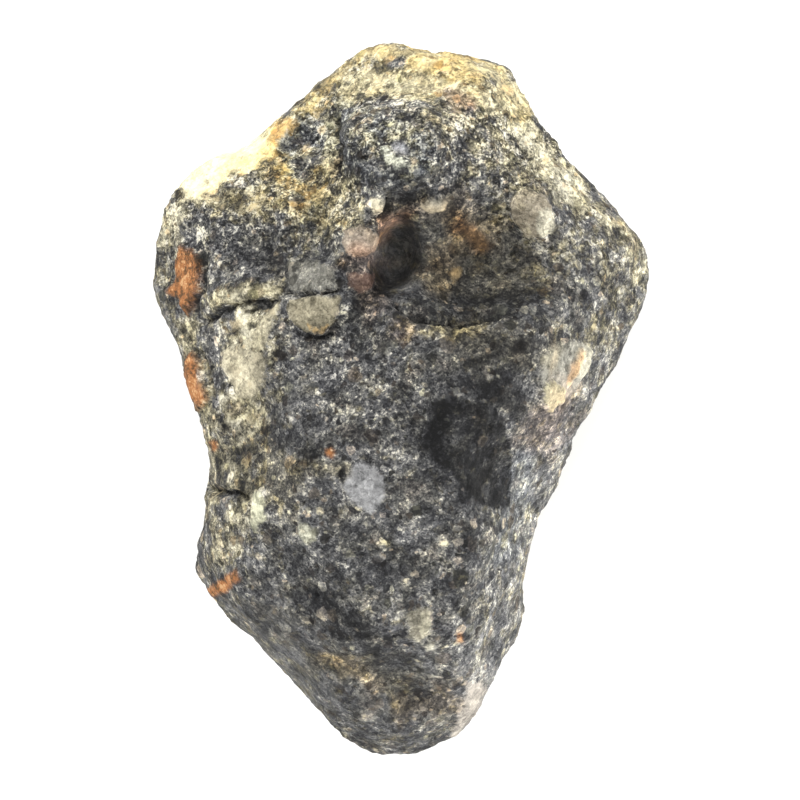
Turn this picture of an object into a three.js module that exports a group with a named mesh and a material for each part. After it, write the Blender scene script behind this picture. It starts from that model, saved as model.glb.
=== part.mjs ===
// A lunar meteorite: one weathered stone of breccia that lies on the flat of its broken back.
// Millimetres, +Z up. Seen from above, +X is to the right and +Y points to the wide end.
// The origin is on the resting face, below the middle of the stone's outline.
import * as THREE from "three";
import { mergeVertices } from "three/addons/utils/BufferGeometryUtils.js";

// The stone's outline seen from above, clockwise from its highest point at the wide end.
const OUTLINE = [
  [-1.2, 30.0], [-3.6, 29.1], [-5.0, 27.8], [-6.6, 26.8], [-8.6, 24.8],
  [-10.3, 23.0], [-12.5, 21.1], [-13.9, 20.8], [-15.8, 20.2], [-17.5, 19.0],
  [-18.9, 17.5], [-19.8, 15.9], [-20.3, 13.9], [-20.7, 11.3], [-20.9, 9.3],
  [-20.2, 7.7], [-18.7, 5.2], [-17.9, 2.9], [-17.6, 0.9], [-16.6, -1.2],
  [-16.0, -3.5], [-15.8, -5.8], [-15.9, -6.8], [-16.4, -7.5], [-16.1, -8.9],
  [-16.4, -10.6], [-17.0, -12.2], [-17.1, -13.8], [-16.6, -15.1], [-15.4, -16.9],
  [-13.8, -18.6], [-12.4, -19.7], [-10.9, -21.5], [-8.4, -24.2], [-5.9, -26.9],
  [-4.7, -27.9], [-3.4, -29.1], [-2.3, -29.8], [-0.6, -29.9], [2.0, -29.6],
  [4.0, -28.5], [5.7, -27.1], [6.7, -25.1], [7.2, -24.0], [8.2, -22.1],
  [9.6, -20.2], [10.2, -18.4], [10.4, -17.0], [10.1, -15.7], [10.15, -13.8],
  [10.6, -11.9], [11.2, -9.8], [12.4, -7.9], [13.3, -6.1], [14.2, -4.0],
  [14.4, -2.8], [15.4, -1.0], [16.8, 1.2], [18.2, 3.3], [18.7, 5.0],
  [19.9, 6.9], [20.6, 8.6], [20.8, 10.8], [20.7, 12.4], [19.7, 13.8],
  [18.3, 14.9], [17.7, 16.1], [16.4, 17.3], [14.3, 19.4], [12.6, 21.0],
  [11.3, 23.1], [10.2, 25.0], [9.3, 27.0], [8.3, 27.9], [6.2, 28.5],
  [4.0, 28.9], [2.4, 28.8], [0.6, 29.5],
];

// Height of the outline's own edge above the ground, every 45 degrees from +X towards +Y.
const RIM_HEIGHT = [13.0, 14.0, 15.0, 13.5, 12.0, 10.5, 9.5, 11.5];

// The facets of the upper side: a point on each, and how far it rises for each millimetre of x and y.
const UPPER_FACETS = {
  plateau: { at: [0.0, 1.0, 28.2], rise: [-0.06, 0.02] },
  leftPlateau: { at: [-6.0, -1.0, 26.8], rise: [0.42, 0.02] },
  lowerFace: { at: [-1.0, -12.0, 25.6], rise: [0.05, 0.33] },
  chin: { at: [1.0, -22.0, 20.4], rise: [-0.05, 0.88] },
  leftFlank: { at: [-9.5, -1.0, 24.6], rise: [1.15, 0.05] },
  lowerLeftFlank: { at: [-9.5, -16.0, 20.8], rise: [0.65, 0.62] },
  rightFlank: { at: [9.0, -6.7, 25.6], rise: [-1.8, 0.85] },
  rightWaist: { at: [10.5, 2.0, 25.4], rise: [-1.25, 0.25] },
  rightCheek: { at: [13.5, 12.0, 22.6], rise: [-0.8, -0.2] },
  upperRightFlank: { at: [10.5, 19.5, 21.5], rise: [-0.9, -0.72] },
  upperRightFace: { at: [7.0, 20.0, 23.6], rise: [-0.25, -0.25] },
  brow: { at: [3.0, 25.0, 22.4], rise: [0.0, -1.0] },
  upperLeftFlank: { at: [-7.0, 22.0, 20.6], rise: [0.57, -0.75] },
  leftCheek: { at: [-9.0, 15.0, 21.2], rise: [0.42, -0.25] },
  leftShoulder: { at: [-13.0, 17.5, 17.8], rise: [0.6, -0.8] },
};

// The facets of the back, from the broken face that it lies on to the slopes that rise to the rim.
const BACK_FACETS = {
  restingFace: { at: [0.0, 0.0, -0.3], rise: [0.0, 0.0] },
  leftKeel: { at: [-10.0, 3.0, 0.0], rise: [-0.75, 0.12] },
  rightKeel: { at: [9.5, 5.0, 0.0], rise: [0.8, 0.1] },
  headSlope: { at: [0.0, 16.5, 0.0], rise: [-0.12, 0.72] },
  tailSlope: { at: [-1.0, -14.5, 0.0], rise: [0.1, -0.62] },
  leftHeel: { at: [-8.5, -10.5, 0.0], rise: [-0.85, -0.5] },
  rightHeel: { at: [5.5, -11.0, 0.0], rise: [1.1, -0.35] },
  headCorner: { at: [9.0, 14.0, 0.0], rise: [0.5, 0.62] },
};

// How fast the sides draw in, above and below the edge: millimetres for each squared millimetre.
const SIDE_ROUND = { above: 0.035, below: 0.03 };
const NOTCH_REACH = 4.5; // the outline's notches fade out this far above and below the edge
const CALM_WINDOW = 24; // degrees of the outline that are averaged where they have faded
const CURVE_SAMPLES = 40; // for each of the outline's points, where its curve is read

// Raised lumps of the upper side. The wall is the share of the radius that its sloping side takes.
const LUMPS = {
  darkBoss: { at: [-0.3, 20.7], radii: [6.0, 5.2], turn: 0, height: 3.2, wall: 0.5 },
  paleTooth: { at: [-2.2, 16.2], radii: [2.9, 2.6], turn: 0, height: 1.5, wall: 0.9 },
  pinkClast: { at: [-3.4, 12.6], radii: [3.4, 4.4], turn: -10, height: 1.8, wall: 0.8 },
  greyTwins: { at: [-6.9, 8.6], radii: [4.2, 4.6], turn: 20, height: 1.5, wall: 0.8 },
  paleBulge: { at: [11.6, 15.4], radii: [3.4, 4.2], turn: 20, height: 1.6, wall: 1 },
  leftLip: { at: [-13.0, 9.4], radii: [5.2, 3.0], turn: 10, height: 1.2, wall: 1 },
};

// Hollows of the upper side, in the same form. Their heights are depths.
const HOLLOWS = {
  deepHole: { at: [-0.5, 11.8], radii: [2.5, 3.9], turn: -16, height: 3.6, wall: 0.7 },
  darkHollow: { at: [6.2, 11.2], radii: [8.6, 6.2], turn: 4, height: 4.2, wall: 0.7 },
  cheekHollow: { at: [-10.8, 13.0], radii: [6.4, 3.6], turn: 8, height: 1.2, wall: 1 },
  chinGroove: { at: [0.0, -23.2], radii: [8.4, 3.0], turn: -16, height: 1.1, wall: 1 },
  headStep: { at: [-7.6, 19.0], radii: [3.4, 4.4], turn: 10, height: 1.3, wall: 0.9 },
};

const CENTRE = [0, 0, 13.5]; // every part of the plain form can be seen from here
const GRID_STEPS = 19; // the grid has 20 * (steps + 1)^2 triangles
const GRID_SHAPE = [21, 29, 14]; // the ellipsoid that the grid is even on
const GRID_TO_UPPER = 0.16; // how far the grid is drawn towards the upper side
const SOFTNESS = 0.35; // how far two facets blend into each other
const SEARCH = { reach: 60, halvings: 30 }; // how the surface is found along a ray from the centre
const LUMP_FACING = 0.45; // lumps and hollows have their full height where the surface faces up more

// The broken and weathered surface. Scoops meet in ridges, knobs meet in creases, and swells are soft.
const RELIEF = {
  scoops: { size: 8.0, height: 1.2 },
  knobs: { size: 4.2, height: 0.6 },
  swells: { size: 2.3, height: 0.2 },
};
const SCATTERED_MEAN = 0.4; // about the mean of fromScattered, where the relief is level
const KNOBS_APART = 31; // shifts the knobs' grid, so that they don't follow the scoops
const RELIEF_AT_EDGE = 0.15; // share of the relief that is left on the outline's edge
const RELIEF_REACH = 5; // the relief has its full height this far above and below the edge

const STONE_COLOUR = 0x6f6e6a;

const smooth = (t) => t * t * (3 - 2 * t);
const mix = (a, b, t) => a + (b - a) * t;

// A repeatable number from 0 to 1 for each corner of a cubic grid.
function cornerValue(x, y, z) {
  let n = Math.imul(x, 374761393) + Math.imul(y, 668265263) + Math.imul(z, 2147483647);
  n = Math.imul(n ^ (n >>> 13), 1274126177);
  return ((n ^ (n >>> 16)) >>> 0) / 4294967295;
}

// Smooth noise from -1 to 1 with swells one unit across.
function noise(x, y, z) {
  const [i, j, k] = [Math.floor(x), Math.floor(y), Math.floor(z)];
  const [u, v, w] = [smooth(x - i), smooth(y - j), smooth(z - k)];
  const along = (b, c) => mix(cornerValue(i, b, c), cornerValue(i + 1, b, c), u);
  const low = mix(along(j, k), along(j + 1, k), v);
  const high = mix(along(j, k + 1), along(j + 1, k + 1), v);
  return 2 * mix(low, high, w) - 1;
}

// How far a place is from the nearest of the points scattered one in each cell of a cubic grid,
// squared, so that the value grows evenly from 0 at a point to about 1 between the points.
function fromScattered(x, y, z) {
  const [i, j, k] = [Math.floor(x), Math.floor(y), Math.floor(z)];
  let nearest = Infinity;
  for (let a = i - 1; a <= i + 1; a++)
    for (let b = j - 1; b <= j + 1; b++)
      for (let c = k - 1; c <= k + 1; c++) {
        const dx = a + cornerValue(a, b, c) - x;
        const dy = b + cornerValue(b, c, a + 57) - y;
        const dz = c + cornerValue(c, a + 57, b) - z;
        nearest = Math.min(nearest, dx * dx + dy * dy + dz * dz);
      }
  return Math.min(1, nearest);
}

// The outline's radius at each whole degree, read off a smooth closed curve through its points.
function outlineTable() {
  const points = OUTLINE.map(([x, y]) => new THREE.Vector3(x, y, 0));
  const curve = new THREE.CatmullRomCurve3(points, true, "centripetal");
  const samples = curve
    .getPoints(OUTLINE.length * CURVE_SAMPLES)
    .map((p) => ({ degree: THREE.MathUtils.radToDeg(Math.atan2(p.y, p.x)), radius: Math.hypot(p.x, p.y) }));
  const turnBetween = (a, b) => Math.abs(((a - b + 540) % 360) - 180);
  return Array.from({ length: 360 }, (_, degree) => {
    const distance = (sample) => turnBetween(sample.degree, degree);
    return samples.reduce((best, sample) => (distance(sample) < distance(best) ? sample : best)).radius;
  });
}

// The same table with each radius averaged over its neighbours.
function calmTable(table) {
  const window = Array.from({ length: CALM_WINDOW + 1 }, (_, i) => i - CALM_WINDOW / 2);
  return table.map((_, degree) => {
    const near = window.map((offset) => table[(degree + offset + 360) % 360]);
    return near.reduce((sum, radius) => sum + radius, 0) / near.length;
  });
}

function readTable(table, angle) {
  const degree = (THREE.MathUtils.radToDeg(angle) + 360) % 360;
  const whole = Math.floor(degree);
  return mix(table[whole % 360], table[(whole + 1) % 360], degree - whole);
}

function rimHeight(angle) {
  const turn = (angle / (2 * Math.PI) + 1) * RIM_HEIGHT.length;
  const step = Math.floor(turn);
  const here = RIM_HEIGHT[step % RIM_HEIGHT.length];
  const next = RIM_HEIGHT[(step + 1) % RIM_HEIGHT.length];
  return mix(here, next, smooth(turn - step));
}

const facetHeight = ({ at, rise }, x, y) => at[2] + rise[0] * (x - at[0]) + rise[1] * (y - at[1]);

// The largest of the values, with the step from one to the next softened.
function softMax(values) {
  const largest = Math.max(...values);
  const sum = values.reduce((total, value) => total + Math.exp((value - largest) / SOFTNESS), 0);
  return largest + SOFTNESS * Math.log(sum);
}

// Below zero inside the plain form and above zero outside it, in about millimetres.
function outside(x, y, z, outline) {
  const angle = Math.atan2(y, x);
  const fromRim = z - rimHeight(angle);
  const round = fromRim > 0 ? SIDE_ROUND.above : SIDE_ROUND.below;
  const faded = smooth(Math.min(1, Math.abs(fromRim) / NOTCH_REACH));
  const radius = mix(readTable(outline.sharp, angle), readTable(outline.calm, angle), faded);
  const side = Math.hypot(x, y) - radius + round * fromRim * fromRim;
  const slope = (facet) => Math.hypot(1, ...facet.rise);
  const above = Object.values(UPPER_FACETS).map((f) => (z - facetHeight(f, x, y)) / slope(f));
  const below = Object.values(BACK_FACETS).map((f) => (facetHeight(f, x, y) - z) / slope(f));
  return softMax([side, ...above, ...below]);
}

// The point of the plain form in one direction from the centre.
function surfacePoint(direction, outline) {
  let [near, far] = [0, SEARCH.reach];
  const at = (reach) => CENTRE.map((c, axis) => c + direction.getComponent(axis) * reach);
  for (let step = 0; step < SEARCH.halvings; step++) {
    const middle = (near + far) / 2;
    if (outside(...at(middle), outline) < 0) near = middle;
    else far = middle;
  }
  return new THREE.Vector3(...at(near));
}

function lumpHeight({ at, radii, turn, height, wall }, x, y) {
  const [dx, dy] = [x - at[0], y - at[1]];
  const [c, s] = [Math.cos(THREE.MathUtils.degToRad(turn)), Math.sin(THREE.MathUtils.degToRad(turn))];
  const across = (dx * c + dy * s) / radii[0];
  const along = (dy * c - dx * s) / radii[1];
  const inside = (1 - Math.hypot(across, along)) / wall;
  return height * smooth(THREE.MathUtils.clamp(inside, 0, 1));
}

const total = (lumps, x, y) =>
  Object.values(lumps).reduce((sum, lump) => sum + lumpHeight(lump, x, y), 0);

// The direction that one point of the even sphere grid is sent in.
function gridDirection(point) {
  const fromTop = Math.acos(THREE.MathUtils.clamp(point.z, -1, 1));
  const drawn = fromTop - GRID_TO_UPPER * Math.sin(fromTop);
  const angle = Math.atan2(point.y, point.x);
  return new THREE.Vector3(
    Math.sin(drawn) * Math.cos(angle) * GRID_SHAPE[0],
    Math.sin(drawn) * Math.sin(angle) * GRID_SHAPE[1],
    Math.cos(drawn) * GRID_SHAPE[2],
  ).normalize();
}

// Raises the lumps and sinks the hollows on the parts of the surface that face up.
function addLumps(geometry) {
  geometry.computeVertexNormals();
  const [place, normal] = [geometry.attributes.position, geometry.attributes.normal];
  for (let i = 0; i < place.count; i++) {
    const [x, y, z] = [place.getX(i), place.getY(i), place.getZ(i)];
    const facing = THREE.MathUtils.clamp(normal.getZ(i) / LUMP_FACING, 0, 1);
    place.setZ(i, z + smooth(facing) * (total(LUMPS, x, y) - total(HOLLOWS, x, y)));
  }
}

// How far the broken and weathered surface stands out at a place.
function reliefHeight(p) {
  const { scoops, knobs, swells } = RELIEF;
  const scoop = fromScattered(p.x / scoops.size, p.y / scoops.size, p.z / scoops.size) - SCATTERED_MEAN;
  const knobX = p.x / knobs.size + KNOBS_APART;
  const knob = SCATTERED_MEAN - fromScattered(knobX, p.y / knobs.size, p.z / knobs.size);
  const swell = noise(p.x / swells.size, p.y / swells.size, p.z / swells.size);
  return scoops.height * scoop + knobs.height * knob + swells.height * swell;
}

// Moves each point along its normal by the relief, less so near the outline's edge.
function addRelief(geometry) {
  geometry.computeVertexNormals();
  const [place, normal] = [geometry.attributes.position, geometry.attributes.normal];
  for (let i = 0; i < place.count; i++) {
    const p = new THREE.Vector3().fromBufferAttribute(place, i);
    const n = new THREE.Vector3().fromBufferAttribute(normal, i);
    const fromRim = Math.abs(p.z - rimHeight(Math.atan2(p.y, p.x)));
    const share = mix(RELIEF_AT_EDGE, 1, smooth(Math.min(1, fromRim / RELIEF_REACH)));
    p.addScaledVector(n, share * reliefHeight(p));
    place.setXYZ(i, p.x, p.y, p.z);
  }
}

// Cuts the back flat on the ground, and puts the origin below the middle of the outline.
function setDown(geometry) {
  const place = geometry.attributes.position;
  for (let i = 0; i < place.count; i++) place.setZ(i, Math.max(0, place.getZ(i)));
  geometry.computeBoundingBox();
  const { min, max } = geometry.boundingBox;
  geometry.translate(-(min.x + max.x) / 2, -(min.y + max.y) / 2, 0);
  geometry.computeVertexNormals();
}

function stoneGeometry() {
  const sphere = new THREE.IcosahedronGeometry(1, GRID_STEPS);
  sphere.deleteAttribute("normal");
  sphere.deleteAttribute("uv");
  const geometry = mergeVertices(sphere, 1e-5);
  const sharp = outlineTable();
  const outline = { sharp, calm: calmTable(sharp) };
  const place = geometry.attributes.position;
  for (let i = 0; i < place.count; i++) {
    const gridPoint = new THREE.Vector3().fromBufferAttribute(place, i).normalize();
    const p = surfacePoint(gridDirection(gridPoint), outline);
    place.setXYZ(i, p.x, p.y, p.z);
  }
  addLumps(geometry);
  addRelief(geometry);
  setDown(geometry);
  return geometry;
}

const stone = new THREE.Mesh(
  stoneGeometry(),
  new THREE.MeshStandardMaterial({ color: STONE_COLOUR, roughness: 0.9, metalness: 0 }),
);
stone.name = "meteorite";

const object = new THREE.Group();
object.add(stone);
export default object;
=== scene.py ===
"""A lunar meteorite: a weathered stone of feldspathic breccia that lies on its broken back.

Places on the photographed side are read in the photograph's 800 by 800 frame, and are dropped along
the camera's rays onto the stone. Other lengths are real sizes in millimetres.
"""

import bmesh
import bpy
import numpy as np
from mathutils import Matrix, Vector


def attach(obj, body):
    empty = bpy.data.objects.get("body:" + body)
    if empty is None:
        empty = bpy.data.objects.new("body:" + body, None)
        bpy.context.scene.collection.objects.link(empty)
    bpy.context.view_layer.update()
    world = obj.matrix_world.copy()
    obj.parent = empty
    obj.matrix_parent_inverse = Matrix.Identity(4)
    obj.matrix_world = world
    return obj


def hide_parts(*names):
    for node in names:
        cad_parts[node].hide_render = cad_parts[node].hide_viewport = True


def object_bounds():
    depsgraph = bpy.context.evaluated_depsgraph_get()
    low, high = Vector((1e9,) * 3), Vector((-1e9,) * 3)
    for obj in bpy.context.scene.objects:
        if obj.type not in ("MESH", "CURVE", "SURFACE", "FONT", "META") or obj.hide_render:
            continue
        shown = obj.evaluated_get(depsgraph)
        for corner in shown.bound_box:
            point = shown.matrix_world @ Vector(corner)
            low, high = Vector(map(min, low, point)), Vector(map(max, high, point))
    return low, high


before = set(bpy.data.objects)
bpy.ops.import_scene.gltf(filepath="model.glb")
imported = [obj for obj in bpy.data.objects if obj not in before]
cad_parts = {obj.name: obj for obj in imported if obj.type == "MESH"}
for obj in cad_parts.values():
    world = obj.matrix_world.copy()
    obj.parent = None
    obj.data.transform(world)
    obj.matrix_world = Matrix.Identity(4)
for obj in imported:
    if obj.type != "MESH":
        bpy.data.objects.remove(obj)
CAD_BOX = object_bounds()

MM = 0.001
SEED = 11
MERGE_DISTANCE = 1e-6
FINER_LEVELS = 2

# The camera looks straight down, as the photograph does, through a long lens.
PHOTO_SIZE = 800
PHOTO_MIDDLE = PHOTO_SIZE / 2
PIXELS_PER_MM = 12.0
EDGE_HEIGHT = 13.0
LENS = 300.0
SENSOR = 36.0
CAMERA_HEIGHT = EDGE_HEIGHT + LENS / SENSOR * PHOTO_SIZE / PIXELS_PER_MM
CAMERA_NEAR = 0.01
CAMERA_FAR = 10.0


def patch(*edge, **finish):
    """A patch with an edge of its own: its closed outline in photograph pixels, and its finish."""
    return {"edge": edge, **finish}


def stroke(reach, *line, **change):
    """A soft mark along an open line in photograph pixels. It fades out at its reach, in pixels."""
    return {"line": line, "reach": reach, **change}


def crack(width, depth, *line):
    """A groove along an open line in photograph pixels, with its width and depth in millimetres."""
    return {"line": line, "width": width, "depth": depth}


# Clasts with clear edges. Lift is how far a clast stands proud, and cover is how much of the ground
# its own colour hides.
CLASTS = {
    "upper_grey": patch(
        (289, 263), (302, 260), (320, 262), (335, 269), (336, 284), (330, 291), (303, 292), (289, 289),
        colour="#716f66", lift=0.25, cover=0.65,
    ),
    "lower_grey_tan": patch(
        (290, 297), (318, 296), (339, 296), (341, 308), (334, 322), (322, 332), (308, 332), (296, 325),
        (288, 312), colour="#847d68", lift=0.32, cover=0.85,
    ),
    "amber_lip": patch(
        (309, 323), (320, 327), (330, 321), (327, 330), (314, 333), colour="#b0976a", lift=0.15,
        cover=0.8,
    ),
    "tooth": patch(
        (371, 197), (379, 194), (386, 203), (385, 214), (376, 216), (369, 208), colour="#cdc5ac",
        lift=0.45, cover=0.9,
    ),
    "tooth_mate": patch(
        (422, 199), (434, 196), (446, 203), (441, 210), (426, 209), colour="#a89f8c", lift=0.35,
        cover=0.9,
    ),
    "tan_beige": patch(
        (346, 230), (360, 227), (373, 230), (377, 240), (373, 252), (360, 257), (349, 255), (344, 244),
        colour="#85796a", lift=0.4, cover=0.75,
    ),
    "pink_lobe": patch(
        (349, 272), (362, 269), (373, 276), (370, 290), (357, 294), (348, 285), colour="#675247",
        lift=0.25, cover=0.65,
    ),
    "beige_bulge": patch(
        (511, 199), (523, 190), (540, 194), (552, 207), (554, 226), (545, 238), (528, 236), (514, 222),
        colour="#958b77", lift=0.3, cover=0.7,
    ),
    "bulge_white": patch(
        (537, 210), (549, 209), (555, 222), (551, 235), (541, 237), (537, 226), colour="#c5bfa9",
        lift=0.2, cover=0.7,
    ),
    "hollow_sliver": patch(
        (449, 279), (446, 273), (456, 267), (464, 268), (462, 277), (454, 284), colour="#96896f",
        lift=0.12, cover=0.8,
    ),
    "hole_top_pale": patch(
        (421, 204), (428, 197), (438, 196), (447, 203), (443, 211), (430, 213), colour="#a09c8d",
        lift=0.25, cover=0.85,
    ),
    "waist_pale": patch(
        (541, 357), (552, 345), (566, 339), (582, 342), (592, 351), (586, 368), (574, 388), (560, 404),
        (545, 411), (537, 401), (537, 379), colour="#99968a", lift=0.35, cover=0.8,
    ),
    "waist_tan": patch(
        (539, 384), (549, 380), (561, 388), (559, 401), (548, 410), (538, 402), colour="#a4a085",
        lift=0.35, cover=0.85,
    ),
    "waist_cream": patch(
        (574, 346), (588, 346), (587, 362), (577, 377), (568, 376), (570, 360), colour="#aba795",
        lift=0.4, cover=0.85,
    ),
    "round_grey": patch(
        (344, 474), (353, 465), (364, 462), (377, 465), (383, 477), (384, 492), (379, 505), (372, 513),
        (358, 508), (346, 496), colour="#878787", lift=0.1, cover=0.88,
    ),
    "greenish": patch(
        (298, 524), (308, 520), (317, 529), (317, 542), (306, 545), (299, 536), colour="#898875",
        lift=0.12, cover=0.65,
    ),
    "left_long_pale": patch(
        (252, 494), (262, 491), (268, 502), (265, 519), (255, 532), (249, 523), (253, 508),
        colour="#a5a48d", lift=0.12, cover=0.85,
    ),
    "cream_chin": patch(
        (404, 613), (414, 608), (428, 607), (432, 618), (430, 634), (421, 643), (408, 636),
        colour="#847f6e", lift=0.18, cover=0.65,
    ),
    "cream_chin_bright": patch(
        (420, 612), (431, 611), (432, 628), (424, 637), (418, 627), colour="#98937f", lift=0.2,
        cover=0.85,
    ),
    "cream_chin_small": patch(
        (423, 642), (436, 641), (436, 650), (425, 651), colour="#a7a392", lift=0.15, cover=0.8,
    ),
    "tail_white": patch(
        (468, 683), (482, 679), (487, 690), (481, 700), (478, 712), (470, 724), (455, 736), (450, 735),
        (455, 725), (456, 714), (461, 700), colour="#999288", lift=0.12, cover=0.8,
    ),
    "left_pale": patch(
        (223, 350), (240, 345), (262, 352), (269, 366), (266, 388), (255, 399), (241, 399), (231, 384),
        (222, 366), colour="#968f7a", lift=0.2, cover=0.85,
    ),
    "left_wedge": patch(
        (282, 298), (279, 313), (273, 332), (270, 347), (257, 351), (246, 345), (251, 331), (263, 317),
        (273, 305), colour="#979079", lift=0.15, cover=0.7,
    ),
    "left_pale_top": patch(
        (228, 319), (240, 318), (243, 329), (231, 333), colour="#a09478", lift=0.12, cover=0.85,
    ),
    "boss_crescent": patch(
        (378, 148), (384, 146), (389, 153), (397, 158), (407, 158), (409, 165), (398, 170), (386, 161),
        colour="#cfcfba", lift=0.18, cover=0.85,
    ),
    "boss_purple": patch(
        (391, 143), (404, 142), (411, 151), (402, 156), (393, 152), colour="#a9a7a6", lift=0.08,
        cover=0.7,
    ),
}

# Thin rusty crusts.
CRUSTS = {
    "left_crust": patch(
        (184, 245), (192, 249), (199, 257), (201, 262), (200, 272), (202, 278), (202, 286), (199, 291),
        (195, 295), (194, 305), (191, 313), (188, 318), (184, 310), (182, 300), (172, 294), (166, 290),
        (175, 284), (177, 272), (178, 260), (180, 251), lift=0.45,
    ),
    "left_strip": patch(
        (193, 351), (198, 355), (201, 365), (203, 375), (206, 385), (211, 400), (202, 410), (192, 392),
        (187, 372), (189, 356), lift=0.4,
    ),
    "left_spot": patch((208, 441), (217, 440), (221, 449), (211, 453), lift=0.05),
    "tail_band": patch(
        (206, 588), (222, 578), (237, 568), (242, 579), (227, 593), (212, 599), lift=0.12,
    ),
    "middle_spot": patch((326, 448), (333, 445), (337, 452), (332, 458), (326, 455), lift=0.05),
    "chin_spot": patch((457, 633), (464, 632), (465, 643), (458, 645), lift=0.05),
}

# Cracks and ledges. Their grooves are also darkened, as painted shade.
CRACKS = {
    "front_ledge": crack(0.5, 0.9, (397, 305), (413, 318), (442, 321), (471, 319), (497, 314)),
    "left_ledge": crack(0.5, 0.7, (203, 322), (228, 309), (246, 303), (277, 301)),
    "left_crack": crack(0.35, 0.4, (244, 314), (256, 310), (270, 307)),
    "waist_crack": crack(0.5, 0.8, (206, 487), (225, 492), (233, 491), (244, 498)),
    "grey_join": crack(0.3, 0.4, (286, 293), (303, 295), (319, 295), (337, 291)),
    "boss_wall": crack(0.5, 0.7, (337, 116), (336, 135), (337, 155), (338, 173)),
    "tooth_crack": crack(0.4, 0.6, (386, 200), (388, 212), (382, 221), (372, 218)),
    "under_twins": crack(0.5, 0.4, (304, 336), (318, 338), (331, 333)),
    "crust_shadow": crack(0.3, 0.5, (204, 262), (204, 278), (204, 289), (197, 297), (195, 312)),
    "strip_shadow": crack(0.3, 0.5, (199, 351), (205, 362), (208, 378), (213, 390), (216, 400)),
}

# Small open pits: place in pixels, radius and depth in millimetres. Each is also darkened, as painted
# shade.
PITS = [
    ((304, 501), 0.22, 0.4),
    ((394, 637), 0.20, 0.3),
    ((430, 638), 0.20, 0.3),
    ((363, 669), 0.18, 0.3),
    ((353, 681), 0.18, 0.3),
    ((358, 685), 0.15, 0.2),
    ((371, 479), 0.15, 0.2),
    ((462, 706), 0.20, 0.3),
    ((356, 485), 0.12, 0.2),
    ((367, 492), 0.12, 0.2),
]

# How strongly the ground is speckled, and how yellow its coat is, where no mark says otherwise.
PLAIN_CONTRAST = 0.8
PLAIN_YELLOW = 0.2

# A mark's tone moves the ground's level by this share of its stops, and tints it by the rest. The
# slope is how many stops, to the base e, the ground's colours change by from level 0 to level 1.
LEVEL_SHARE = 0.6
RAMP_SLOPE = 4.6

# What the ground's colour is multiplied by under each cast.
CASTS = {
    "plain": (1.0, 1.0, 1.0),
    "brown": (1.10, 0.98, 0.84),
    "olive": (1.05, 1.0, 0.86),
    "pink": (1.12, 0.97, 0.90),
    "rusty": (1.32, 0.96, 0.70),
    "red": (1.30, 0.95, 0.82),
    "blue": (0.96, 1.0, 1.05),
    "purple": (1.05, 0.92, 1.0),
}
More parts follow.
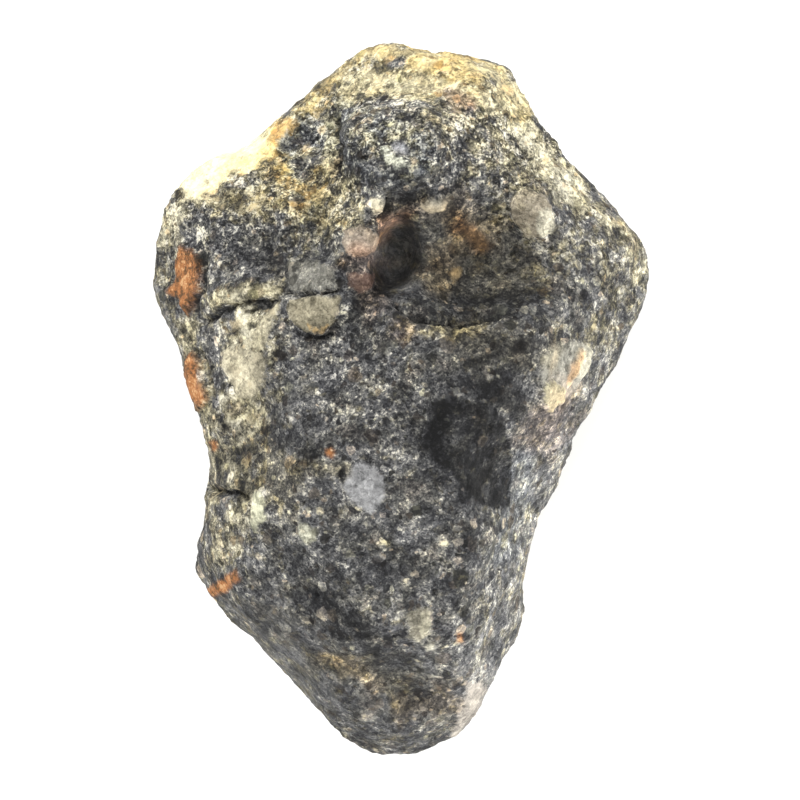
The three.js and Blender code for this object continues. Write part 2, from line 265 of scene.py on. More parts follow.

# Soft changes of the ground: tone as a factor, a cast, the cream or yellow weathering coat that lies
# there, and how strongly the ground is speckled. A few paint shade or a highlight instead, as marked.
STROKES = {
    "head_speckle": stroke(90, (350, 130), (440, 130), (520, 130), contrast=1.3),
    "cheek_speckle": stroke(90, (200, 210), (320, 190), contrast=1.25),
    "middle_speckle": stroke(80, (330, 340), (400, 400), contrast=1.0),
    "hollow_rust": stroke(30, (456, 208), (480, 236), tone=1.05, cast="brown"),
    "hollow_rust_core": stroke(15, (472, 230), (479, 246), tone=1.25, cast="rusty", contrast=0.5),
    # Painted shade under the boss, above the hole.
    "under_boss_shade": stroke(16, (404, 182), (412, 206), (414, 226), tone=0.6),
    "hollow_pale": stroke(16, (482, 252), (510, 254), tone=1.3),
    "above_left_of_patch": stroke(14, (434, 366), (432, 400), tone=0.65),
    "under_ledge_light": stroke(16, (334, 322), (364, 328), tone=1.4),
    "crown_light": stroke(18, (384, 106), (412, 110), tone=1.35),
    "right_edge_light": stroke(16, (606, 200), (614, 218), tone=1.4),
    "beside_waist_light": stroke(16, (526, 338), (534, 354), tone=1.4),
    "flank_light": stroke(18, (246, 536), (264, 560), (270, 590), tone=1.35),
    "lower_light": stroke(18, (362, 562), (364, 612), tone=1.3),
    "middle_dark": stroke(16, (386, 434), (388, 452), tone=0.65),
    "low_middle_dark": stroke(16, (386, 536), (392, 548), tone=0.65),
    "left_of_hole": stroke(22, (362, 262), (376, 300), tone=0.85, cast="pink"),
    "right_of_hollow": stroke(
        26, (530, 245), (580, 240), (552, 256), (536, 278), tone=1.6, coat=0.3, yellow=0.3,
    ),
    "hollow_low_right": stroke(20, (478, 272), (508, 280), tone=0.65),
    "hollow_top": stroke(18, (456, 226), (458, 250), (434, 254), tone=0.75, cast="brown"),
    "hollow_right": stroke(20, (488, 248), (515, 258), tone=1.1),
    "hollow_warm": stroke(20, (440, 285), (452, 270), cast="brown"),
    "right_of_brow": stroke(24, (490, 160), (508, 210), tone=1.3, coat=0.3, yellow=0.3),
    "below_hollow": stroke(34, (470, 345), (530, 350), tone=0.8, cast="olive"),
    "middle_right": stroke(28, (420, 350), (415, 400), tone=0.8),
    "boss": stroke(50, (370, 130), (430, 135), tone=0.95, coat=0.32),
    "boss_light": stroke(22, (366, 128), (388, 116), (386, 138), tone=1.35),
    "left_of_boss": stroke(22, (300, 128), (322, 142), tone=0.95, cast="blue"),
    "boss_edge": stroke(14, (330, 120), (329, 175), coat=0.6, yellow=0.3),
    "cheek_dim_left": stroke(22, (240, 202), (268, 206), tone=0.5),
    "cheek_dim_right": stroke(20, (316, 196), (314, 232), tone=0.42),
    "cheek_light": stroke(20, (290, 182), (292, 232), tone=1.7),
    "cheek_low": stroke(22, (286, 250), (290, 280), tone=0.75),
    "left_notch": stroke(16, (190, 322), (206, 324), tone=0.75),
    "band_light": stroke(22, (216, 358), (240, 376), tone=1.9),
    "band_dim": stroke(20, (214, 418), (270, 424), tone=0.6),
    "crest_dim": stroke(24, (286, 436), (312, 446), (308, 470), tone=0.5),
    "waist_dim": stroke(20, (240, 458), (244, 492), tone=0.55),
    "greenish_light": stroke(18, (312, 510), (314, 544), tone=1.45),
    "left_low_light": stroke(22, (264, 512), (262, 542), (228, 548), tone=1.35),
    "centre_light": stroke(20, (406, 536), (438, 545), tone=2.0),
    "centre_dim_small": stroke(18, (362, 532), (360, 548), tone=0.55),
    "low_dim_right": stroke(18, (384, 590), (414, 590), tone=0.6),
    "low_dim_left": stroke(18, (264, 606), (272, 616), tone=0.55),
    "tail_dim": stroke(22, (386, 666), (414, 686), tone=0.5),
    "tail_light": stroke(18, (384, 706), (410, 712), tone=1.4),
    "crest_light": stroke(20, (266, 466), (290, 494), tone=1.4),
    "left_ledge_light": stroke(18, (216, 298), (222, 320), tone=1.4),
    "right_low_light": stroke(28, (456, 642), (480, 625), (508, 618), tone=1.3),
    "middle_dim": stroke(20, (338, 400), (360, 398), (346, 424), tone=0.7),
    "left_of_patch": stroke(24, (406, 418), (428, 424), (430, 470), tone=0.36),
    "below_patch": stroke(24, (482, 515), (470, 542), tone=0.4),
    "low_dark_spot": stroke(20, (304, 580), (332, 592), tone=0.5),
    "olive_light": stroke(16, (338, 466), (338, 494), tone=1.3),
    "tooth_light": stroke(20, (364, 205), (384, 222), (366, 240), tone=1.35),
    "patch_strip": stroke(10, (519, 455), (518, 480), (516, 508), tone=1.4),
    "patch_low": stroke(18, (460, 486), (494, 498), tone=0.32),
    "patch_right_top": stroke(20, (500, 380), (522, 424), tone=0.55),
    # Painted shade under the brow that overhangs the hollow.
    "brow_dark": stroke(15, (452, 204), (462, 228), tone=0.6),
    # Painted shade that the ledge throws into the hollow.
    "ledge_dark": stroke(16, (474, 300), (490, 302), tone=0.6),
    # A painted shadow line under the ledge.
    "below_ledge_dark": stroke(14, (430, 325), (442, 327), tone=0.6),
    "left_bulge_dark": stroke(15, (238, 462), (244, 496), tone=0.55),
    "left_fold_light": stroke(14, (261, 318), (268, 329), tone=1.5),
    "crown_right_dark": stroke(16, (478, 150), (484, 162), tone=0.6),
    "right_edge_dark": stroke(20, (604, 276), (628, 300), tone=0.65),
    "right_edge_low": stroke(14, (624, 318), (628, 330), tone=1.5),
    "middle_light": stroke(18, (314, 512), (316, 545), tone=1.35),
    "tail_middle_light": stroke(16, (382, 704), (391, 712), tone=1.4),
    "tail_end_dark": stroke(14, (430, 728), (437, 736), tone=0.6),
    "low_right_light": stroke(18, (430, 632), (436, 664), tone=1.35),
    "low_centre_dark": stroke(16, (358, 632), (365, 642), tone=0.6),
    "flank_tan": stroke(13, (322, 656), (350, 666), (376, 688), tone=1.35, cast="brown"),
    "flank_dark": stroke(13, (322, 596), (346, 614), (372, 642), tone=0.65),
    "flank_edge_light": stroke(18, (290, 604), (314, 636), tone=1.35),
    "right_of_patch": stroke(16, (512, 466), (556, 448), (554, 470), tone=1.3),
    "low_right_edge": stroke(14, (532, 508), (530, 524), tone=1.4),
    "above_round_grey": stroke(15, (336, 440), (340, 458), tone=1.35),
    "crown_light_right": stroke(16, (434, 130), (456, 156), tone=1.35),
    "left_brow_grey": stroke(17, (289, 130), (292, 178), (314, 206), cast="blue"),
    "lobe_warm": stroke(17, (360, 248), (382, 262), cast="pink"),
    "boss_grey": stroke(28, (372, 126), (424, 148), cast="blue"),
    "waist_rim_dim": stroke(22, (554, 322), (560, 372), tone=0.7),
    "below_ledge_dim": stroke(22, (434, 346), (506, 330), (530, 324), tone=0.7),
    "left_of_ledge": stroke(24, (366, 280), (386, 300), (364, 318), tone=0.42),
    "hole_rim_warm": stroke(
        20, (380, 238), (386, 216), (410, 212), (440, 210), cast="brown", tone=0.85,
    ),
    "cheek_warm": stroke(34, (270, 160), (300, 200), (318, 180), cast="olive", coat=0.6, yellow=0.6),
    "crest_warm": stroke(30, (262, 450), (286, 490), cast="olive"),
    "left_face_low": stroke(24, (190, 276), (224, 278), tone=0.55),
    "left_face_mid": stroke(26, (285, 200), (300, 240), tone=1.2, coat=0.3, yellow=0.3),
    "left_face_rim": stroke(26, (165, 240), (168, 300), tone=0.75, coat=0.3),
    "plateau_left": stroke(26, (275, 400), (285, 450), tone=0.7),
    "plateau_mid": stroke(24, (298, 420), (316, 392), (340, 372), (366, 372), tone=1.35),
    "plateau_light": stroke(20, (386, 394), (376, 424), tone=1.4),
    "low_blobs": stroke(14, (392, 566), (430, 567), tone=0.55),
    "centre_dim": stroke(40, (310, 560), (360, 585), (420, 570), tone=0.85),
    "olive_middle": stroke(14, (295, 467), (345, 468), tone=1.05, cast="olive", coat=0.2),
    "left_crest_olive": stroke(16, (272, 520), (285, 570), tone=0.8, coat=0.1),
    "tail_tan": stroke(22, (320, 660), (365, 668), (400, 690), cast="olive", tone=0.9, coat=0.1),
    "tail_rust": stroke(18, (405, 708), (448, 700), cast="brown", tone=1.05, coat=0.1),
    "tail_end": stroke(22, (350, 745), (380, 752), (430, 742), tone=0.75),
    "low_left_dim": stroke(22, (205, 575), (232, 590), tone=0.8),
    "ledge_pink": stroke(18, (400, 324), (408, 332), cast="pink", coat=0.4),
    "under_ledge": stroke(18, (425, 332), (480, 326), tone=1.4, cast="olive", coat=0.35),
    "twins_right": stroke(16, (338, 316), (342, 330), tone=1.4),
    "brow_purple": stroke(14, (452, 98), (470, 104), cast="purple", tone=0.7),
    # Painted highlight over a real cream coat: the left shoulder is made much paler and barely speckled.
    "shoulder_coat_and_highlight": stroke(
        27, (192, 182), (228, 163), (258, 146), tone=1.9, coat=1.5, yellow=0.35, contrast=0.2,
    ),
    "shoulder_yellow": stroke(20, (262, 146), (286, 125), coat=1.0, yellow=0.6),
    "shoulder_below": stroke(24, (300, 160), (320, 150), tone=1.25, coat=0.4, yellow=0.4),
    "top_edge": stroke(16, (360, 50), (420, 55), (500, 75), (530, 110), coat=0.9, yellow=0.4),
    "top_yellow": stroke(30, (420, 62), (470, 72), tone=1.1, coat=1.0, yellow=0.5),
    "top_cream": stroke(28, (350, 85), (440, 85), (500, 100), tone=1.1, coat=0.9, yellow=0.35),
    "top_left_tan": stroke(28, (300, 108), (340, 76), (375, 58), tone=0.95, coat=0.65, yellow=0.5),
    "right_shoulder": stroke(24, (500, 95), (520, 115), coat=0.95, yellow=0.4),
    "right_rim": stroke(26, (520, 128), (545, 165), (575, 195), tone=1.1, coat=0.85, yellow=0.15),
    "right_rim_low": stroke(24, (580, 200), (630, 240), (640, 280), tone=1.15, coat=0.5, yellow=0.1),
    "head_middle": stroke(34, (440, 115), (484, 128), (480, 160), tone=1.35, coat=0.4, yellow=0.25),
    # Partly painted shade along the boss's left and lower edges, partly their own blue-grey.
    "boss_dark_rim": stroke(
        15, (345, 108), (343, 140), (350, 164), (385, 178), (425, 172), tone=0.75, cast="blue",
        contrast=0.6,
    ),
    "low_flank_calm": stroke(44, (258, 612), (318, 684), (392, 738), contrast=0.7),
    "strip_grey": stroke(24, (524, 450), (518, 500), (500, 545), cast="blue"),
    "hole_rim": stroke(12, (379, 238), (391, 222), (406, 217), tone=0.8, cast="red", contrast=0.65),
    "head_right": stroke(34, (485, 115), (530, 190), tone=1.1, coat=0.45, yellow=0.25),
    "left_rim": stroke(22, (180, 205), (166, 240), coat=0.6, yellow=0.1),
    "left_face_coat": stroke(44, (220, 200), (290, 190), (345, 210), coat=0.55, yellow=0.35),
    "left_ledge_cream": stroke(17, (212, 300), (245, 293), (272, 290), coat=0.7, yellow=0.25),
    "left_band_top": stroke(20, (250, 318), (275, 318), tone=1.5, coat=0.5, yellow=0.3),
    "left_band": stroke(32, (248, 325), (248, 380), (243, 425), coat=0.75, yellow=0.1),
    "left_band_low": stroke(30, (225, 440), (245, 500), (225, 550), coat=0.5, yellow=0.1),
    "left_edge": stroke(20, (185, 325), (212, 430), (210, 520), coat=0.45, yellow=0.2),
    "right_flank": stroke(
        34, (590, 360), (560, 430), (525, 500), (510, 610), (480, 680), tone=1.5, contrast=0.65,
    ),
    "right_flank_warm": stroke(30, (556, 400), (536, 440), cast="pink", contrast=0.72),
    "right_face": stroke(34, (600, 250), (620, 300), (590, 340), coat=0.3, yellow=0.3),
    "right_face_dim": stroke(22, (600, 330), (628, 300), tone=0.8),
    "low_calm": stroke(60, (300, 650), (380, 690), (440, 700), tone=0.9, contrast=0.65),
    "left_flank_low": stroke(24, (230, 600), (330, 700), tone=1.05, contrast=0.65),
}

# Darker or paler patches of the ground, changed in the same ways. Those in the hole, in the hollow by
# the ledge, under the brow and at the foot of the boss are painted shade. Soft is the width of the edge
# in millimetres.
SHADES = {
    "dark_patch": patch(
        (440, 400), (456, 396), (472, 402), (490, 400), (503, 416), (511, 445), (511, 472), (508, 507),
        (496, 509), (478, 500), (462, 486), (450, 470), (436, 462), (424, 448), (429, 424), (434, 408),
        tone=0.16, soft=0.15,
    ),
    "dark_patch_above": patch(
        (438, 374), (470, 358), (508, 352), (524, 372), (520, 404), (510, 416), (500, 404), (478, 398),
        (450, 394), tone=0.26, soft=1.0,
    ),
    "waist_vein": patch(
        (576, 347), (581, 349), (575, 364), (570, 374), (566, 386), (561, 383), (566, 366), tone=0.9,
        cast="rusty", soft=0.35,
    ),
    # Painted shade: the hole is made a little darker and calmer in speckle, as in shadow.
    "hole": patch(
        (388, 222), (403, 217), (420, 226), (425, 246), (421, 262), (412, 280), (404, 292), (384, 293),
        (374, 279), (371, 262), (378, 240), tone=0.95, soft=1.1, contrast=0.32,
    ),
    "hollow": patch(
        (425, 222), (452, 208), (490, 214), (512, 236), (540, 256), (544, 284), (520, 300), (470, 300),
        (430, 296), (416, 280), (426, 250), tone=0.85, cast="olive", soft=1.4, contrast=0.7,
    ),
    "hollow_shadow": patch(
        (396, 292), (440, 296), (500, 292), (542, 284), (552, 300), (520, 314), (470, 319), (420, 316),
        tone=0.4, soft=0.8,
    ),
    "brow_shadow": patch(
        (392, 184), (430, 178), (468, 184), (470, 196), (440, 200), (410, 198), (392, 212), (386, 200),
        tone=0.45, soft=0.7,
    ),
    # Painted shade at the foot of the boss, along its left and lower edges.
    "boss_foot_shade": patch(
        (338, 140), (346, 158), (362, 172), (390, 180), (384, 190), (356, 188), (340, 174), tone=0.55,
        soft=0.5,
    ),
    "left_face_pit": patch(
        (228, 236), (250, 228), (268, 246), (282, 262), (268, 274), (244, 268), (230, 254), tone=0.5,
        soft=0.8,
    ),
    "chin_dark": patch(
        (300, 590), (330, 604), (372, 620), (392, 640), (380, 654), (340, 640), (304, 618), tone=0.38,
        soft=1.0,
    ),
}

# Stretches where the broken surface is combed one way, with the direction of its streaks.
COMBS = {
    "right_comb": stroke(36, (580, 390), (535, 470), (512, 560), (505, 640), way=(0.22, -1.0, 0.3)),
    "left_comb": stroke(60, (225, 590), (300, 660), (380, 720), way=(0.72, -0.7, 0.2)),
    "side_comb": stroke(36, (215, 340), (235, 420), (225, 470), way=(0.25, -1.0, 0.3)),
}

# The share of each length along a comb that is taken off, which draws its streaks seven times longer,
# and how strongly they show.
COMB_STRETCH = 0.86
COMB_SHARE = 0.6

# Scattered clasts of the sides and the back: the colour of their ragged edges, their own colours from
# dark to pale, their radii in millimetres and a factor on them that is drawn by its odds, and how far
# they cover the ground and stand proud of it.
SCATTERED_COUNT = 260
SCATTERED_EDGE = "#8a867a"
SCATTERED_COLOURS = ["#3a3b3d", "#55565a", "#7c7b76", "#8f8a78", "#a39c86", "#b5ab98", "#8c7766", "#c2bda8"]
SCATTERED_RADII = (0.35, 1.0)
SCATTERED_FACTORS = [0.6, 1.0, 1.8]
SCATTERED_ODDS = [0.5, 0.35, 0.15]
SCATTERED_COVER = (0.3, 0.75)
SCATTERED_LIFT = (-0.1, 0.25)

# Depths in millimetres: of a point that is outside every clast, of the ragged rim of a scattered clast,
# and of the slope from the ground to the top of a clast or a crust. A crust's outline lies at a share
# of its slope.
FAR_OUTSIDE = -9.0
SCATTERED_RIM = -0.3
CLAST_SLOPE = 0.35
CRUST_SLOPE = 0.30
CRUST_OUTLINE = 0.4

# Scattered clasts, crust patches and coats lie only where the stone turns away from the camera: the
# upward part of the normal at which each starts, and the depth in millimetres that is taken off before.
SCATTERED_TURN = 0.6
SCATTERED_SUNK = 2
CRUST_TURN = 0.3
CRUST_SUNK = 3
COAT_TURN = 0.75

# Crust patches of that side: broad and fine waves in millimetres, the share of the fine ones, the level
# that shows as crust, and the depth that a wave gives it.
CRUST_WAVES = (5.0, 1.6)
CRUST_FINE_SHARE = 0.4
CRUST_LEVEL = 0.75
CRUST_DEPTH = 2.0

# The coat of that side and how it changes over its waves, in millimetres, and the same of its yellow.
TURNED_COAT = 0.30
COAT_CHANGE = 0.35
COAT_WAVE = 7.0
YELLOW_CHANGE = 0.25
YELLOW_WAVE = 4.0

# How steeply a groove's sides fall, against its width.
GROOVE_STEEPNESS = 1.6

# How many pixels the edges of clasts, crusts and shades stray from their outlines, and the sizes in
# millimetres of their broad and fine waves.
WOBBLE = 1.4
BROAD_WAVE = 1.7
FINE_WAVE = 0.7

# A mark is full near its line, and its edge strays by shares of broad waves, whose size is given in
# millimetres, and of fine ones.
MARK_FULLNESS = 1.2
STRAY_WAVE = 1.6
STRAY_SHARE = 0.55
FINE_STRAY_SHARE = 0.3

# Marks keep to the side that the camera sees: a face that looks down counts as so many pixels farther
# from each of them, in full where its normal points down by the turn or more.
HIDDEN_DISTANCE = 60
HIDDEN_TURN = 0.3

# Textures of the rock. A scale is how many grains or clouds there are to a millimetre. The finest
# grains are drawn a seventh of a millimetre wide, because finer ones wouldn't show.
GRAINS = {"Scale": 7.0}
FLECKS = {"Scale": 2.9}
DUST = {"Scale": 2.6, "Detail": 4.0, "Roughness": 0.8}
SMUDGES = {"Scale": 1.15}
CLOUD = {"Scale": 0.55, "Detail": 3.0, "Roughness": 0.75}
BROAD_CLOUD = {"Scale": 0.28, "Detail": 2.0}
STREAKS = {"Scale": 2.4, "Detail": 5.0, "Roughness": 0.6}
WEATHER_PATCHES = {"Scale": 0.8, "Detail": 9.0, "Roughness": 0.72}
HUE_DRIFT = {"Scale": 0.5, "Detail": 3.0}

# The share that each texture has in the tone.
GRAIN_SHARE = 0.42
FLECK_SHARE = 0.34
DUST_SHARE = 1.05
SMUDGE_SHARE = 0.26
CLOUD_SHARE = 1.2
BROAD_SHARE = 0.3

# How places wander, so that cells read there get ragged edges: waves to a millimetre, and how far.
FLECK_WANDER = (4.0, 0.10)
RAGGED_WANDER = (1.5, 0.35)

# The smallest rounded clasts: how many there are to a millimetre, and their largest radius as a share
# of their spacing. They cover part of the ground, and a share of its speckle still shows on them.
PEBBLES = [(1.5, 0.45), (0.8, 0.45), (0.42, 0.36)]
PEBBLE_COVER = 0.65
PEBBLE_SHARE = 0.42

# Ranges of values: 1 and 2 are where a change starts and ends, and 3 and 4 what it gives there, which
# is 0 and 1 where they aren't named.
CALM_RANGE = {1: 0.0, 2: PLAIN_CONTRAST}
PEBBLE_EDGE = {1: -0.03, 2: 0.06}
STAIN_RANGE = {1: 1.38, 2: 2.02}
CHALK_RANGE = {1: 1.72, 2: 2.45}
CHALK_TONES = {1: 0.1, 2: 0.9, 3: 0.30, 4: 1.40}
CLAST_EDGE = {1: -0.14, 2: 0.30}
CLAST_TONES = {1: 0.0, 2: 1.0, 3: 0.30, 4: 1.65}
CRUST_EDGE = {1: -0.15, 2: 0.40}
# Painted shade in cracks and pits: the share of the colour that is kept as a groove's share rises.
GROOVE_SHADE_RANGE = {1: 0.35, 2: 0.95, 3: 1.0, 4: 0.25}
PIT_BOWL = {1: 0.16, 2: 0.06, 3: 0.0, 4: 1.0}

# How strongly the patches of weathering tell beside the coat that the marks give, and how far broad
# clouds turn the chalk yellow. The patches also move the edges of clasts, by so many millimetres from
# the palest to the darkest, and those of crusts by a share of that.
PATCH_WEATHER = 2.6
CLOUD_YELLOW = 0.6
CLAST_RAGGEDNESS = 1.6
CRUST_RAGGEDNESS = 0.5

# What makes a crust paler: the tone of its grains, and its depth, above a level that is taken off.
RUST_TONE = 0.8
RUST_DEPTH = 0.20
RUST_OFFSET = 0.22

# Colours of each surface, from its darkest to its palest grains, and of chalk from cream to yellow.
FRESH_COLOURS = [
    (0.00, "#121213"), (0.25, "#272729"), (0.50, "#464646"), (0.70, "#6b6a68"), (0.86, "#98958c"),
    (1.00, "#cfcbbd"),
]
STAINED_COLOURS = [
    (0.00, "#1b1a15"), (0.25, "#38352a"), (0.50, "#68624f"), (0.70, "#989178"), (0.95, "#dad2b8"),
]
CHALK_COLOURS = [(0.30, "#cdc8b4"), (0.60, "#c9c09f"), (0.85, "#c6b07a"), (1.0, "#bf9b62")]
RUST_COLOURS = [
    (0.10, "#2c241c"), (0.48, "#5a4129"), (0.70, "#8a5a36"), (0.86, "#99683f"), (1.00, "#b38c63"),
]

# Hues that the ground's colour is multiplied by: of the smallest clasts, and of broad drifts.
CLAST_HUES = [(0.0, "#f4f6ff"), (0.3, "#ffffff"), (0.5, "#f6f6dc"), (0.7, "#fff0e6"), (1.0, "#ffe6c8")]
DRIFT_HUES = [(0.36, "#fbfcff"), (0.48, "#ffffff"), (0.58, "#fffef6"), (0.68, "#fff8ef")]

# What carve_and_mark stores on the stone's points for its material, besides the combs.
STORED_VALUES = (
    "tint", "level", "contrast", "coat", "yellow", "clast_depth", "clast_colour", "clast_cover",
    "crust_depth", "groove_shade",
)

# The dull finish of broken stone, and how high its grains stand in the light, in millimetres.
STONE_FINISH = {"Roughness": 0.82, "IOR": 1.5, "Specular IOR Level": 0.2}
GRAIN_BUMP = 0.12

# The relief's sizes in metres.
RELIEF_SIZES = {
    "Knob Spacing": 1.7 * MM,
    "Knob Height": 0.30 * MM,
    "Grain Size": 0.62 * MM,
    "Grain Height": 0.14 * MM,
    "Rough Size": 1.2 * MM,
    "Rough Height": 0.60 * MM,
    "Pit Spacing": 2.4 * MM,
    "Pit Depth": 0.30 * MM,
}
ROUGHNESS_NOISE = {"Scale": 1.0, "Detail": 4.0, "Roughness": 0.65}

# The plainly lit room.
FLOOR_SIZE = 3.0
FLOOR_COLOUR = "#f4f4f2"
FLOOR_ROUGHNESS = 0.95
WORLD_STRENGTH = 1.0
LIGHTS = [
    {"name": "upper_left", "at": (-0.45, 0.55, 0.35), "size": 0.30, "watts": 7.0},
    {"name": "right", "at": (0.65, -0.20, 0.20), "size": 0.30, "watts": 7.0},
    {"name": "lower", "at": (-0.30, -0.65, 0.22), "size": 0.30, "watts": 3.0},
]


def linear(colour):
    """The linear RGBA values of an sRGB hex colour."""
    parts = [int(colour[i:i + 2], 16) / 255 for i in (1, 3, 5)]
    return tuple(c / 12.92 if c <= 0.04045 else ((c + 0.055) / 1.055) ** 2.4 for c in parts) + (1.0,)


def ease(t):
    """A smooth step from 0 to 1."""
    t = np.clip(t, 0, 1)
    return t * t * (3 - 2 * t)


def add_camera():
    """The photograph's camera, straight above the stone."""
    data = bpy.data.cameras.new("camera")
    data.lens = LENS
    data.sensor_width = SENSOR
    data.clip_start = CAMERA_NEAR
    data.clip_end = CAMERA_FAR
    camera = bpy.data.objects.new("camera", data)
    camera.location = (0, 0, CAMERA_HEIGHT * MM)
    bpy.context.collection.objects.link(camera)
    bpy.context.scene.camera = camera


def photo_pixels(points):
    """Where the camera sees points that are given in millimetres."""
    scale = LENS / SENSOR * PHOTO_SIZE / (CAMERA_HEIGHT - points[:, 2])
    return PHOTO_MIDDLE + points[:, 0] * scale, PHOTO_MIDDLE - points[:, 1] * scale


def lumpy(points, size, seed, cells=64):
    """Smooth noise between about -1 and 1 whose lumps have the given size in millimetres."""
    grid = np.random.default_rng(seed).uniform(-1, 1, (cells, cells, cells))
    place = points / size + cells / 2
    cell = np.floor(place).astype(int)
    part = ease(place - cell)
    total = np.zeros(len(points))
    for corner in np.ndindex(2, 2, 2):
        weight = np.prod(np.where(corner, part, 1 - part), axis=1)
        x, y, z = ((cell + corner) % cells).T
        total += weight * grid[x, y, z]
    return total


def line_distance(px, py, line):
    """How many pixels each place is from an open line."""
    nearest = np.full(len(px), np.inf)
    for (ax, ay), (bx, by) in zip(line, line[1:]):
        ex, ey = bx - ax, by - ay
        along = np.clip(((px - ax) * ex + (py - ay) * ey) / (ex * ex + ey * ey), 0, 1)
        nearest = np.minimum(nearest, np.hypot(px - ax - along * ex, py - ay - along * ey))
    return nearest


def inside_depth(px, py, edge):
    """How many pixels each place is inside a closed outline, below zero outside it."""
    inside = np.zeros(len(px), bool)
    for (ax, ay), (bx, by) in zip(edge, edge[1:] + edge[:1]):
        if ay != by:
            inside ^= ((ay > py) != (by > py)) & (px < ax + (py - ay) * (bx - ax) / (by - ay))
    nearest = line_distance(px, py, edge + edge[:1])
    return np.where(inside, nearest, -nearest)


def fine_copy(source, name):
    """A copy of a CAD node's mesh with its points merged and its surface divided twice."""
    mesh = source.data.copy()
    grid = bmesh.new()
    grid.from_mesh(mesh)
    bmesh.ops.remove_doubles(grid, verts=grid.verts, dist=MERGE_DISTANCE)
    grid.to_mesh(mesh)
    grid.free()
    mesh.materials.clear()
    piece = bpy.data.objects.new(name, mesh)
    bpy.context.collection.objects.link(piece)
    finer = piece.modifiers.new("finer", "SUBSURF")
    finer.levels = finer.render_levels = FINER_LEVELS
    return settle(piece)


def settle(piece):
    """Turns a piece's modifiers into its plain mesh."""
    evaluated = piece.evaluated_get(bpy.context.evaluated_depsgraph_get())
    mesh = bpy.data.meshes.new_from_object(evaluated)
    piece.modifiers.clear()
    piece.data = mesh
    return piece


def read_points(mesh):
    """The mesh's points in millimetres, and their normals."""
    points = np.zeros(len(mesh.vertices) * 3)
    normals = np.zeros(len(mesh.vertices) * 3)
    mesh.vertices.foreach_get("co", points)
    mesh.vertex_normals.foreach_get("vector", normals)
    return points.reshape(-1, 3) / MM, normals.reshape(-1, 3)


def write_points(mesh, points):
    """Moves the mesh's points, kept inside the solid's own box and above the ground."""
    low, high = (np.array(corner) / MM for corner in CAD_BOX)
    mesh.vertices.foreach_set("co", (np.clip(points, low, high) * MM).ravel())
    mesh.update()


def write_values(mesh, name, values):
    """Stores one number or one colour for each point of the mesh."""
    kind, field = ("FLOAT", "value") if values.ndim == 1 else ("FLOAT_COLOR", "color")
    layer = mesh.attributes.new(name, kind, "POINT")
    layer.data.foreach_set(field, values.astype(np.float32).ravel())


class Side:
    """The stone's points as the camera would see them, with how far each is turned out of its sight."""

    def __init__(self, mesh):
        self.points, self.normals = read_points(mesh)
        self.px, self.py = photo_pixels(self.points)
        broad_x, broad_y = (lumpy(self.points, BROAD_WAVE, SEED + turn) for turn in (1, 2))
        fine_x, fine_y = (lumpy(self.points, FINE_WAVE, SEED + turn) for turn in (9, 10))
        self.px = self.px + WOBBLE * (broad_x + fine_x)
        self.py = self.py + WOBBLE * (broad_y + fine_y)
        self.hidden = HIDDEN_DISTANCE * ease(-self.normals[:, 2] / HIDDEN_TURN)
        broad = STRAY_SHARE * lumpy(self.points, STRAY_WAVE, SEED + 3)
        fine = FINE_STRAY_SHARE * lumpy(self.points, FINE_WAVE, SEED + 8)
        self.stray = 1 + broad + fine

    def depth(self, edge):
        """Millimetres inside an outline."""
        return (inside_depth(self.px, self.py, edge) - self.hidden) / PIXELS_PER_MM

    def share(self, line, reach):
        """1 along a line, easing raggedly to 0 at its reach in pixels."""
        distance = line_distance(self.px, self.py, line) * self.stray
        return ease(MARK_FULLNESS * (1 - (distance + self.hidden) / reach))

    def away(self, distance):
        """Millimetres for a distance in pixels, and farther where the point is out of sight."""
        return (distance + self.hidden) / PIXELS_PER_MM


def place_clasts(side):
    """Depth inside the nearest clast, its colour with how fully it covers the ground, and its height."""
    depth = np.full(len(side.px), FAR_OUTSIDE)
    colour = np.ones((len(side.px), 4)) * linear(SCATTERED_EDGE)
    height = np.zeros(len(side.px))
    for clast in CLASTS.values():
        here = side.depth(clast["edge"])
        nearer = here > np.minimum(depth, 0)
        colour[nearer] = linear(clast["colour"])
        colour[nearer, 3] = clast["cover"]
        depth = np.maximum(depth, here)
        height += clast["lift"] * ease(here / CLAST_SLOPE + 0.5)
    draw = np.random.default_rng(SEED)
    unseen = ease(SCATTERED_TURN - side.normals[:, 2])
    for _ in range(SCATTERED_COUNT):
        middle = side.points[draw.integers(len(side.points))]
        radii = draw.uniform(*SCATTERED_RADII, 3) * draw.choice(SCATTERED_FACTORS, p=SCATTERED_ODDS)
        turned = np.linalg.norm((side.points - middle) / radii, axis=1)
        here = (1 - turned) * radii.mean() - SCATTERED_SUNK * (1 - unseen)
        nearer = here > np.maximum(depth, SCATTERED_RIM)
        colour[nearer] = linear(SCATTERED_COLOURS[draw.integers(len(SCATTERED_COLOURS))])
        colour[nearer, 3] = draw.uniform(*SCATTERED_COVER)
        depth = np.maximum(depth, here)
        height += draw.uniform(*SCATTERED_LIFT) * ease(here / CLAST_SLOPE + 0.5)
    return depth, colour, height


def place_crusts(side):
    """Depth inside the nearest rusty crust, and its height."""
    depth = np.full(len(side.px), FAR_OUTSIDE)
    height = np.zeros(len(side.px))
    for crust in CRUSTS.values():
        here = side.depth(crust["edge"])
        depth = np.maximum(depth, here)
        height += crust["lift"] * ease(here / CRUST_SLOPE + CRUST_OUTLINE)
    unseen = ease(CRUST_TURN - side.normals[:, 2])
    broad, fine = (lumpy(side.points, size, SEED + turn) for size, turn in zip(CRUST_WAVES, (4, 5)))
    patches = (broad + CRUST_FINE_SHARE * fine - CRUST_LEVEL) * CRUST_DEPTH
    depth = np.maximum(depth, patches - CRUST_SUNK * (1 - unseen))
    return depth, height


